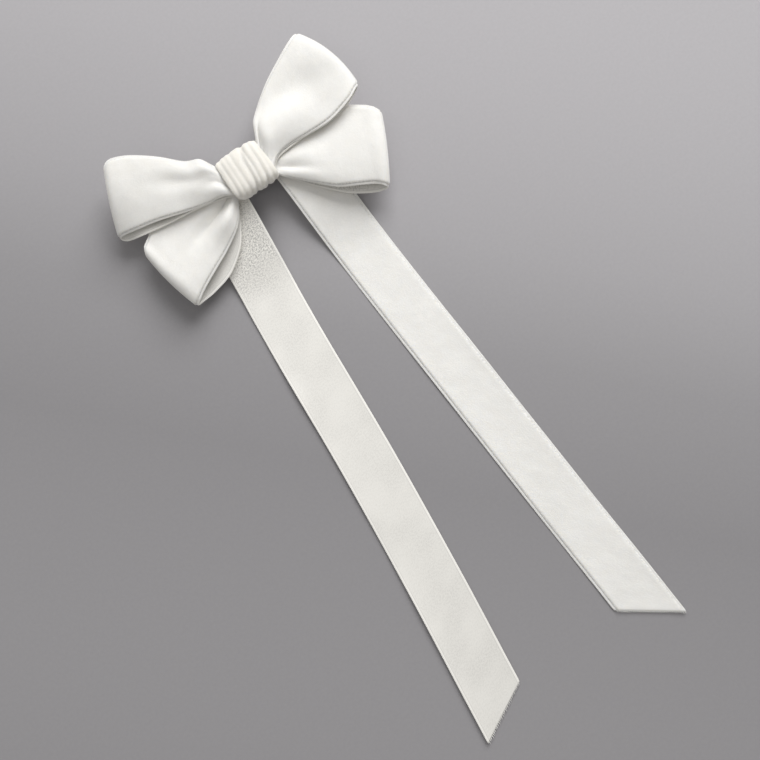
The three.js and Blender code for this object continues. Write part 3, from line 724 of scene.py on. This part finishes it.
def loop_grid(name, ribs, levels, across, steps):
    """The middle surface of one loop, from the top of the waist round the fold to the bottom."""
    side = 1 if ribs[0][0] > 0 else -1
    low, high = levels
    half = WAIST_HALF
    start = [(side * x, half, high, side * x, -half, high, 0.0) for x in (0.0, *IN_KNOT)]
    end = [(side * x, half, low, side * x, -half, low, 0.0) for x in (*IN_KNOT[::-1], END_GAP)]
    rows = np.array(start + list(ribs) + end, float)
    fold = len(start) + TIP_RIB
    order = np.arange(len(rows), dtype=float)
    mids = (rows[:, :3] + rows[:, 3:6]) / 2
    path = spline(np.column_stack([mids, rows, order]), steps)
    a, b, crown, place = path[:, 3:6], path[:, 6:9], path[:, 9], path[:, 10]
    u = across[None, :]
    grid = (a[:, None] * (1 + u[..., None]) + b[:, None] * (1 - u[..., None])) / 2
    lift = crown[:, None] * (1 - u**2) * (1 - LEAN[name] * u)
    t = place / fold  # 0 at the waist, 1 at the fold, more than 1 on the bottom layer
    for u0, u1, wide, tall, peak, spread in FOLDS[name]:
        centre = (u0 + (u1 - u0) * np.clip(t, 0, 1))[:, None]
        grows = np.exp(-(((t - peak) / spread) ** 2))[:, None]
        lift = lift + tall * grows * np.exp(-(((u - centre) / wide) ** 2))
    reach = np.where(t < 1, *GATHER_REACH)
    pleat = GATHER_HEIGHT * np.exp(-((np.maximum(np.abs(path[:, 0]) - GATHER_START, 0) / reach) ** 2))
    lift = lift + pleat[:, None] * np.cos(2 * math.pi * GATHERS * (u + GATHER_SHIFT * side))
    hidden = UNDER[name] * smooth((t - HIDDEN_FROM) / 0.2) * smooth((HIDDEN_TO - t) / 0.16)
    lift = lift + hidden[:, None] * (1 - u**4) * (0.1 + np.cos(4 * math.pi * u))
    grid[..., 2] += lift
    out = smooth(1 - np.abs(t - 1) / BOW_SPREAD) * BOWED[name]
    way = (a + b)[:, :2] / np.linalg.norm((a + b)[:, :2], axis=1, keepdims=True).clip(1e-6)
    grid[..., :2] += (out[:, None] * (1 - u**2))[..., None] * way[:, None]
    return grid


def looped_ribbon(name, right, left, levels, node):
    width = sizes().loop_width
    across = across_steps(width, LOOP_POINTS)
    halves = [loop_grid(n, ribs, WAIST_LEVELS[levels], across, LOOP_ROWS) for n, ribs in (right, left)]
    # From the bottom of the waist round the right loop to its top, then round the left loop.
    grid = np.vstack([halves[0][::-1], halves[1][1:]]) * MM
    grid[..., 2] += FLOOR_Z
    made = ribbon_mesh(name, grid, across, width, pile_up=False, gathered=True)
    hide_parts(node)
    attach(made, MAIN)
    picks = edge_picks(name, grid, LOOP_PICK)
    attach(picks, MAIN)
    return made


# ---------------------------------------------------------------- the knot
# Valleys between the gathers of the wrap: where along the knot each lies at the back, at the far side, on
# top, and at the near side, how deep it is at each of those, and how wide. Millimetres.
VALLEYS = [
    (-8.6, -8.0, -8.4, -9.2, 0.5, 0.5, 0.55, 0.7, 1.0),
    (-6.2, -5.6, -6.0, -6.6, 0.3, 0.3, 0.28, 0.4, 1.0),
    (-3.4, -2.8, -3.3, -3.6, 0.5, 0.4, 0.4, 0.5, 1.0),
    (-0.5, 4.5, 0.6, -1.0, 0.6, 0.3, 0.95, 1.2, 1.05),
    (2.2, 3.0, 3.0, 1.4, 0.4, 0.7, 0.6, 0.4, 0.9),
    (4.6, 6.6, 6.2, 4.6, 0.6, 0.3, 0.6, 1.0, 0.95),
    (8.8, 8.8, 8.9, 8.0, 0.4, 0.4, 0.35, 0.5, 0.9),
]
VALLEY_POWER = 1.7  # over 1, so that a valley's floor is round
KNOT_PAST = (0.5, 0.2, -0.45)  # how far the wrap's half sizes stand past the frame's, in x, y and z
KNOT_SQUARE = 3.2  # how square the knot is, seen along the bow: 2 is round
SIDE_DEPTH, TOP_DEPTH = 0.85, 0.75  # a valley's depth at the sides and on top, as shares
SKINS_APART = 0.35  # the least between the outer skin and the lining
THREAD_CLEAR = 0.12  # the least between the lining and the thread
ROUND_KNOT = 54  # once round the knot
KNOT_RINGS, KNOT_TURNS = 110, 220  # points along the knot and round it
ROLL = 0.28  # how far the rolled rims stand past the skins
RING_MM = 0.2  # from one ring to the next on the cloth's map
INSIDE_MM = 9.0  # further from an edge than any selvage, so that all of the wrap shows pile
KNOT_WARMTH = (1.03, 1.0, 0.95)  # the wrap's velvet is tinted a little warmer in colour than the loops'


def knot_grid():
    """The outer skin and the lining of the wrap, each along the knot by round it."""
    half_x, half_y, half_z = ((high - low) / 2 / MM + past
                              for low, high, past in zip(KNOT_LOW, KNOT_HIGH, KNOT_PAST))
    mid_z = (KNOT_LOW.z + KNOT_HIGH.z) / 2 / MM
    s = np.linspace(-1, 1, KNOT_RINGS)[:, None]
    angle = np.linspace(0, 2 * math.pi, KNOT_TURNS, endpoint=False)[None, :]
    # Angle 0 is at the back, a quarter at the far side, a half on top, three quarters at the near side.
    quarter = angle / (math.pi / 2)
    i = np.minimum(quarter.astype(int), 3)
    share = smooth(quarter - i)
    # The wrap is wound a little askew.
    x = s * half_x * (1 + 0.03 * np.sin(2 * angle + 0.6)) + 0.45 * np.sin(angle + 2.2)
    depth = 0.0
    for *numbers, wide in VALLEYS:
        places, depths = (np.array(four + four[:1]) for four in (numbers[:4], numbers[4:]))
        centre, deep = (four[i] + (four[i + 1] - four[i]) * share for four in (places, depths))
        depth = depth + deep * np.exp(-((np.abs(x - centre) / wide) ** VALLEY_POWER))
    # It is fullest in the middle, and draws in at its two rims.
    barrel = 1.15 * np.abs(s) ** 7 - 0.35 * (1 - s**2)
    # The lining stays clear of the thread, which ends short of the rims, and of the outer skin.
    deepest = (half_y - THREAD_HIGH.y / MM - THREAD_CLEAR) / SIDE_DEPTH
    deepest = np.where(np.abs(s) < 0.93, deepest, 9.0)
    outer = np.minimum(depth + barrel, deepest - SKINS_APART)
    lining = np.minimum(np.maximum(outer + SKINS_APART, 0.95 + 0.7 * barrel), deepest)
    square = squared(angle, KNOT_SQUARE)
    skins = []
    for shrink, shorter in ((outer, 1.0), (lining, 0.975)):
        y = np.sin(angle) * square * (half_y - shrink * SIDE_DEPTH)
        z = mid_z - np.cos(angle) * square * (half_z - shrink * TOP_DEPTH)
        skins.append(np.stack([x * shorter, y, z], axis=2) * MM)
    return skins


def rolled_rim(outer, lining, end):
    """A few rings that roll over from the outer skin's first or last ring to the lining's."""
    a, b = outer[end], lining[end]
    outwards = np.sign(a[:, 0] - outer[end - 2 if end else 2][:, 0])
    rings = []
    for share in (0.2, 0.5, 0.8):
        ring = a + (b - a) * share
        ring[:, 0] += outwards * ROLL * MM * math.sin(math.pi * (0.25 + 0.5 * share))
        rings.append(ring)
    return np.stack(rings)


def knot_wrap():
    """The gathered ribbon round the waist, open at both ends, with its rims turned in towards the waist."""
    outer, lining = knot_grid()
    last, first = rolled_rim(outer, lining, -1), rolled_rim(outer, lining, 0)
    rows = np.concatenate([outer, last, lining[::-1], first[::-1]])
    count, turns = rows.shape[:2]
    at = np.arange(count * turns).reshape(count, turns)
    quads = np.vstack([np.column_stack([a, np.roll(a, -1), np.roll(b, -1), b])
                       for a, b in zip(at, np.roll(at, -1, axis=0))])
    mesh = bpy.data.meshes.new("gathered_knot")
    mesh.from_pydata(rows.reshape(-1, 3).tolist(), [], quads.tolist())
    mesh.polygons.foreach_set("use_smooth", np.ones(len(quads), bool))
    corners = corners_of(mesh)
    across_mm = np.repeat(np.arange(count) * RING_MM, turns)[corners]
    along_mm = np.tile(np.linspace(0, ROUND_KNOT, turns, endpoint=False), count)[corners].reshape(-1, 4)
    # The faces that close the round end at its full length, and not at 0.
    closing = along_mm.max(axis=1, keepdims=True) > ROUND_KNOT - 4
    along_mm = np.where(closing & (along_mm < 1), along_mm + ROUND_KNOT, along_mm).ravel()
    put_cloth_map(mesh, np.column_stack([across_mm, along_mm]), np.full(count * turns, INSIDE_MM))
    mesh.materials.append(material("velvet_gathered", velvet_material, KNOT_WARMTH))
    made = put_in_scene("gathered_knot", mesh)
    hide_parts("knot_wrap")
    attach(made, MAIN)
    return made


# ---------------------------------------------------------------- the tails
# Middle line of each tail, from its glued end (x, y and height over the surface), then the outer and inner
# corners of its cut, and how far it tilts across at the knot. Millimetres.
LEFT_TAIL = {
    "line": [(-17.6, 4.6, 10.4), (-18.0, -1.0, 10.4), (-18.5, -6.0, 10.3), (-19.1, -14.0, 9.0),
             (-20.3, -28.0, 5.4), (-21.5, -42.0, 1.8), (-22.8, -56.0, 0.95), (-24.6, -80.0, 0.95),
             (-28.1, -136.5, 0.95), (-33.4, -196.4, 0.95), (-38.1, -240.5, 0.95), (-40.2, -260.4, 0.95)],
    "outer": (-52.9, -267.3), "inner": (-27.0, -253.2), "tilt": 0.113,
}
RIGHT_TAIL = {
    "line": [(21.4, 4.6, 9.7), (21.6, -1.0, 9.7), (21.9, -6.0, 9.6), (22.4, -14.0, 8.6),
             (23.3, -28.0, 5.3), (24.2, -42.0, 1.8), (25.0, -56.0, 0.4), (26.4, -80.0, 0.3),
             (30.1, -136.5, 0.3), (34.1, -196.4, 0.3), (36.9, -235.4, 0.3), (38.6, -261.0, 0.3)],
    "outer": (52.1, -270.2), "inner": (24.9, -251.7), "tilt": -0.134,
}
TAIL_POINTS = 29  # across the ribbon, between its two selvages
TAIL_ROWS = 360  # along the ribbon
TAIL_PICK = 0.0003  # how thick the woven edge's picks are
COMES_DOWN = (-6, 46)  # where a tail starts down from the knot in y, and how much further on it lies flat
LIES_LOOSE = (-60, 40)  # the same for the waves of its edges
PAST_END = 40  # how far a line may be drawn on to reach the cut
CUT_FIBRES = {"Pitch": 0.0009, "Thickness": 0.0006, "Lean": 0.3}  # at the cut ends, in metres
ON_PILE, ON_BACK = 1.2, -0.3  # how high the fibres stand out of the cut, in thicknesses of the cloth


def tail_grid(shape, across, side):
    """The middle surface of one tail, cut on the slant. Millimetres over the surface."""
    path = spline(shape["line"], TAIL_ROWS)
    ahead = np.gradient(path, axis=0)[:, :2]
    ahead /= np.linalg.norm(ahead, axis=1, keepdims=True)
    sideways = np.column_stack([-ahead[:, 1], ahead[:, 0]])
    sideways *= np.sign(sideways[:, :1])
    half = sizes().tail_width / 2 / MM
    u = across[None, :]
    grid = np.zeros((TAIL_ROWS, len(across), 3))
    grid[..., :2] = path[:, None, :2] + sideways[:, None] * (u[..., None] * half)
    # It leaves the knot tilted and a little arched, and flattens on its way down.
    start, reach = COMES_DOWN
    raised = 1 - smooth((start - path[:, 1:2]) / reach)
    grid[..., 2] = path[:, 2:] + raised * (shape["tilt"] * u * half + 0.4 * (0.5 - u**2))
    # It lies loosely: each edge rises and settles a little along its length.
    y = grid[..., 1]
    start, reach = LIES_LOOSE
    loose = (1 - raised) * smooth((start - y) / reach)
    wave = 0.3 * np.sin(y / 23 + side) + 0.2 * np.sin(y / 9.5 + 2 * side)
    grid[..., 2] += loose * (0.5 + wave) * np.abs(u) ** 3 * (1 + 0.4 * side * np.sign(u)) * 0.7
    # Every line along the ribbon is shortened or drawn on to end on the cut.
    left, right = (np.array(corner) for corner in sorted((shape["outer"], shape["inner"])))
    ends = grid[-1, :, 1].copy()
    for j, v in enumerate(across):
        cut = left + (right - left) * (v + 1) / 2
        line = grid[:, j].copy()
        run = run_along(line)
        stop = run[-1] + (ends[j] - cut[1]) / max(abs(ahead[-1, 1]), 0.5)
        want = np.linspace(0, stop, TAIL_ROWS)
        extra = line[-1] + (line[-1] - line[-2]) / (run[-1] - run[-2]) * PAST_END
        line = np.vstack([line, extra])
        run = np.append(run, run[-1] + PAST_END)
        grid[:, j] = np.column_stack([np.interp(want, run, line[:, k]) for k in range(3)])
    return grid


def tail(name, shape, pile_up, body, nodes):
    width = sizes().tail_width
    side = -1 if shape["outer"][0] < 0 else 1
    across = across_steps(width, TAIL_POINTS)
    grid = tail_grid(shape, across, side) * MM
    grid[..., 2] += FLOOR_Z
    made = ribbon_mesh(name, grid, across, width, pile_up)
    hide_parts(*nodes)
    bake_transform(made)
    picks = edge_picks(name, grid, TAIL_PICK)
    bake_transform(picks)
    cut_line = grid[-1] + np.array([0, 0, sizes().cloth * (ON_PILE if pile_up else ON_BACK)])
    fibres = grown(name + "_cut_fibres", [cut_line[4:-4]], NODES["fibres"], {
        **CUT_FIBRES, "Length": stitches().fibre, "Out": (0.1 * side, -1.0, 0.12),
        "Seed": stitches().seed, "Material": pile_finish()})
    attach(fibres, body)
    return made


# ---------------------------------------------------------------- the thread and the glue
THREAD_POINTS = 40  # in one turn of the thread
THREAD_SQUARE = 5  # how square the turns are: 2 is round
THREAD_SHARE = 0.96  # of its own pitch, so that neighbouring turns stay apart
GLUE_ROWS, GLUE_TURNS = 15, 48  # points up the bead and round it
GLUE_SQUARE = 3  # how square the bead is, on the same scale
GLUE_END = 0.78  # how wide the bead is at its ends, as a share of its middle
GLUE_WITHIN = 0.97  # how far it fills the frame's box


def thread_line():
    """The line of the thread round the waist, from one end of its winding to the other."""
    low, high, thick = THREAD_LOW, THREAD_HIGH, stitches().thread
    turns = int((high.x - low.x) / thick)
    half_y, half_z = (high.y - low.y - thick) / 2, (high.z - low.z - thick) / 2
    t = np.linspace(0, turns, turns * THREAD_POINTS)
    angle = 2 * math.pi * t
    square = squared(angle, THREAD_SQUARE)
    return np.column_stack([low.x + thick / 2 + (high.x - low.x - thick) * t / turns,
                            half_y * square * np.cos(angle),
                            (high.z + low.z) / 2 + half_z * square * np.sin(angle)])


def glue_mesh():
    """A bead that swells at its middle, with a rippled, roundly square rim."""
    low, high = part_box("knot_glue_pad")
    half, middle = (high - low) / 2, (high + low) / 2
    angle = np.linspace(0, 2 * math.pi, GLUE_TURNS, endpoint=False)[None, :]
    rise = np.linspace(-1, 1, GLUE_ROWS)[:, None]
    ripple = 1 + 0.05 * np.sin(3 * angle + 1) + 0.03 * np.sin(7 * angle)
    wide = (GLUE_END + (1 - GLUE_END) * (1 - np.abs(rise) ** 3)) * squared(angle, GLUE_SQUARE) * ripple
    points = np.stack(np.broadcast_arrays(
        middle.x + half.x * GLUE_WITHIN * wide * np.cos(angle),
        middle.y + half.y * GLUE_WITHIN * wide * np.sin(angle), middle.z + half.z * rise), axis=2)
    at = np.arange(GLUE_ROWS * GLUE_TURNS).reshape(GLUE_ROWS, GLUE_TURNS)
    quads = []
    for a, b in zip(at[:-1], at[1:]):
        quads += np.column_stack([a, np.roll(a, -1), np.roll(b, -1), b]).tolist()
    mesh = bpy.data.meshes.new("glue_bead")
    mesh.from_pydata(points.reshape(-1, 3).tolist(), [], [*quads, at[0][::-1].tolist(), at[-1].tolist()])
    mesh.polygons.foreach_set("use_smooth", [len(p.vertices) == 4 for p in mesh.polygons])
    mesh.materials.append(material("set_glue", glue_material))
    return mesh


# ---------------------------------------------------------------- the clip's metal, the light and the camera
# Each metal's material, the colour it takes, its roughness, how fine its rolling lines are, and its pieces.
METALS = (
    ("nickel_plate", "metal", 0.26, 2600, ("barrette_plate", "hinge_pin", "clasp_arm", "catch_rivet")),
    ("tempered_spring", "spring", 0.34, 3400, ("tension_bar", "catch_base", "catch_wing_left",
                                               "catch_wing_right")),
)

SURFACE_REACH = 3.0
SURFACE_DROP = 0.00005  # keeps the surface just clear of the clip
LAMPS = {  # place, size and power
    "window": ((0.68, 0.56, 0.86), 0.9, 16.6),
    "sky_panel": ((-0.3, -0.1, 1.4), 1.2, 3.0),
}
LAMPS_AIM = (0, -0.1, 0)
ROOM_COLOUR, ROOM_LIGHT = (1.0, 0.985, 0.955, 1), 0.28
SENSOR, LENS = 36.0, 47.37
EYE, AIM = (-0.0243, -0.1400, 0.4514), (-0.0028, -0.1084, 0.0)  # over the surface
CAMERA_RIGHT = (0.827, -0.562, 0.0)


# ---------------------------------------------------------------- operators
class HAIRBOW_OT_loops(bpy.types.Operator):
    """Make the two wide ribbons whose loops form the bow"""

    bl_idname = "hairbow.loops"
    bl_label = "Loop ribbons"

    def execute(self, context):
        make_trees()
        looped_ribbon("lower_loops", ("lower_right", LOWER_RIGHT), ("lower_left", LOWER_LEFT), "lower",
                      "lower_loop_ribbon")
        looped_ribbon("upper_loops", ("upper_right", UPPER_RIGHT), ("upper_left", UPPER_LEFT), "upper",
                      "upper_loop_ribbon")
        return {"FINISHED"}


class HAIRBOW_OT_knot(bpy.types.Operator):
    """Make the gathered ribbon round the bow's waist"""

    bl_idname = "hairbow.knot"
    bl_label = "Knot wrap"

    def execute(self, context):
        knot_wrap()
        return {"FINISHED"}


class HAIRBOW_OT_thread(bpy.types.Operator):
    """Wind the thread that holds the ribbons' waists together under the wrap"""

    bl_idname = "hairbow.thread"
    bl_label = "Waist thread"

    def execute(self, context):
        make_trees()
        made = grown("binding_thread", [thread_line()], NODES["coil"], {
            "Thickness": stitches().thread * THREAD_SHARE,
            "Material": material("twisted_thread", thread_material)})
        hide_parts("waist_thread")
        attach(made, MAIN)
        return {"FINISHED"}


class HAIRBOW_OT_glue(bpy.types.Operator):
    """Set the bead of hot-melt glue between the knot and the clip"""

    bl_idname = "hairbow.glue"
    bl_label = "Glue bead"

    def execute(self, context):
        made = put_in_scene("glue_bead", glue_mesh())
        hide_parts("knot_glue_pad")
        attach(made, MAIN)
        return {"FINISHED"}


class HAIRBOW_OT_tails(bpy.types.Operator):
    """Make the two long tails with their slanting cuts"""

    bl_idname = "hairbow.tails"
    bl_label = "Tails"

    def execute(self, context):
        make_trees()
        tail("left_tail_ribbon", LEFT_TAIL, False, "tail_left", ("left_tail", "left_tail_glued_end"))
        tail("right_tail_ribbon", RIGHT_TAIL, True, "tail_right", ("right_tail", "right_tail_glued_end"))
        return {"FINISHED"}


class HAIRBOW_OT_metal(bpy.types.Operator):
    """Finish the clip's own parts in plated and sprung steel"""

    bl_idname = "hairbow.metal"
    bl_label = "Clip metal"

    def execute(self, context):
        for name, colour, roughness, lines, pieces in METALS:
            finish = material(name, metal_material, tuple(getattr(colours(), colour)), roughness, lines)
            for node in pieces:
                slots = frame["nodes"][node].data.materials
                slots.clear()
                slots.append(finish)
        return {"FINISHED"}


class HAIRBOW_OT_stage(bpy.types.Operator):
    """Lay the bow on a matt surface under soft light, with the camera above it"""

    bl_idname = "hairbow.stage"
    bl_label = "Stage"

    def execute(self, context):
        scene = context.scene
        r, z = SURFACE_REACH, FLOOR_Z - SURFACE_DROP
        mesh = bpy.data.meshes.new("surface")
        mesh.from_pydata([(-r, -r, z), (r, -r, z), (r, r, z), (-r, r, z)], [], [(0, 1, 2, 3)])
        mesh.materials.append(material("matt_surface", surface_material))
        put_in_scene("surface", mesh)

        for name, (place, size, power) in LAMPS.items():
            light = bpy.data.lights.new(name, "AREA")
            light.size = size
            light.energy = power
            lamp = put_in_scene(name, light)
            lamp.location = place
            lamp.rotation_euler = (Vector(LAMPS_AIM) - Vector(place)).to_track_quat("-Z", "Y").to_euler()
        scene.world = bpy.data.worlds.new("room")
        scene.world.use_nodes = True
        room = scene.world.node_tree.nodes["Background"].inputs
        room["Color"].default_value = ROOM_COLOUR
        room["Strength"].default_value = ROOM_LIGHT

        camera = bpy.data.cameras.new("camera")
        camera.sensor_width = SENSOR
        camera.lens = LENS
        eye, aim = (Vector(place) + Vector((0, 0, FLOOR_Z)) for place in (EYE, AIM))
        back = (eye - aim).normalized()
        up = back.cross(Vector(CAMERA_RIGHT).normalized())
        right = up.cross(back)
        turned = Matrix([[right[i], up[i], back[i]] for i in range(3)]).to_4x4()
        scene.camera = put_in_scene("camera", camera)
        scene.camera.matrix_world = Matrix.Translation(eye) @ turned
        scene.view_settings.view_transform = "Standard"
        return {"FINISHED"}


class HAIRBOW_PT_panel(bpy.types.Panel):
    """The bow's sizes, colours and steps"""

    bl_label = "Hair Bow"
    bl_idname = "HAIRBOW_PT_panel"
    bl_space_type = "VIEW_3D"
    bl_region_type = "UI"
    bl_category = "Hair Bow"

    def draw(self, context):
        for group in (sizes(), stitches(), colours()):
            box = self.layout.box()
            for key in group.__annotations__:
                box.prop(group, key)
        for step in STEPS:
            self.layout.operator(step.bl_idname)


STEPS = (HAIRBOW_OT_knot, HAIRBOW_OT_loops, HAIRBOW_OT_thread, HAIRBOW_OT_glue, HAIRBOW_OT_tails,
         HAIRBOW_OT_metal, HAIRBOW_OT_stage)
GROUPS = {"hair_bow_ribbons": HairBowRibbons, "hair_bow_stitches": HairBowStitches,
          "hair_bow_colours": HairBowColours}


def register():
    for made in (*GROUPS.values(), *STEPS, HAIRBOW_PT_panel):
        bpy.utils.register_class(made)
    for name, group in GROUPS.items():
        setattr(bpy.types.Scene, name, PointerProperty(type=group))


def unregister():
    for name in GROUPS:
        delattr(bpy.types.Scene, name)
    for made in (HAIRBOW_PT_panel, *reversed(STEPS), *reversed(GROUPS.values())):
        bpy.utils.unregister_class(made)


def main():
    register()
    for step in STEPS:
        area, name = step.bl_idname.split(".")
        getattr(getattr(bpy.ops, area), name)()


if __name__ == "__main__":
    main()
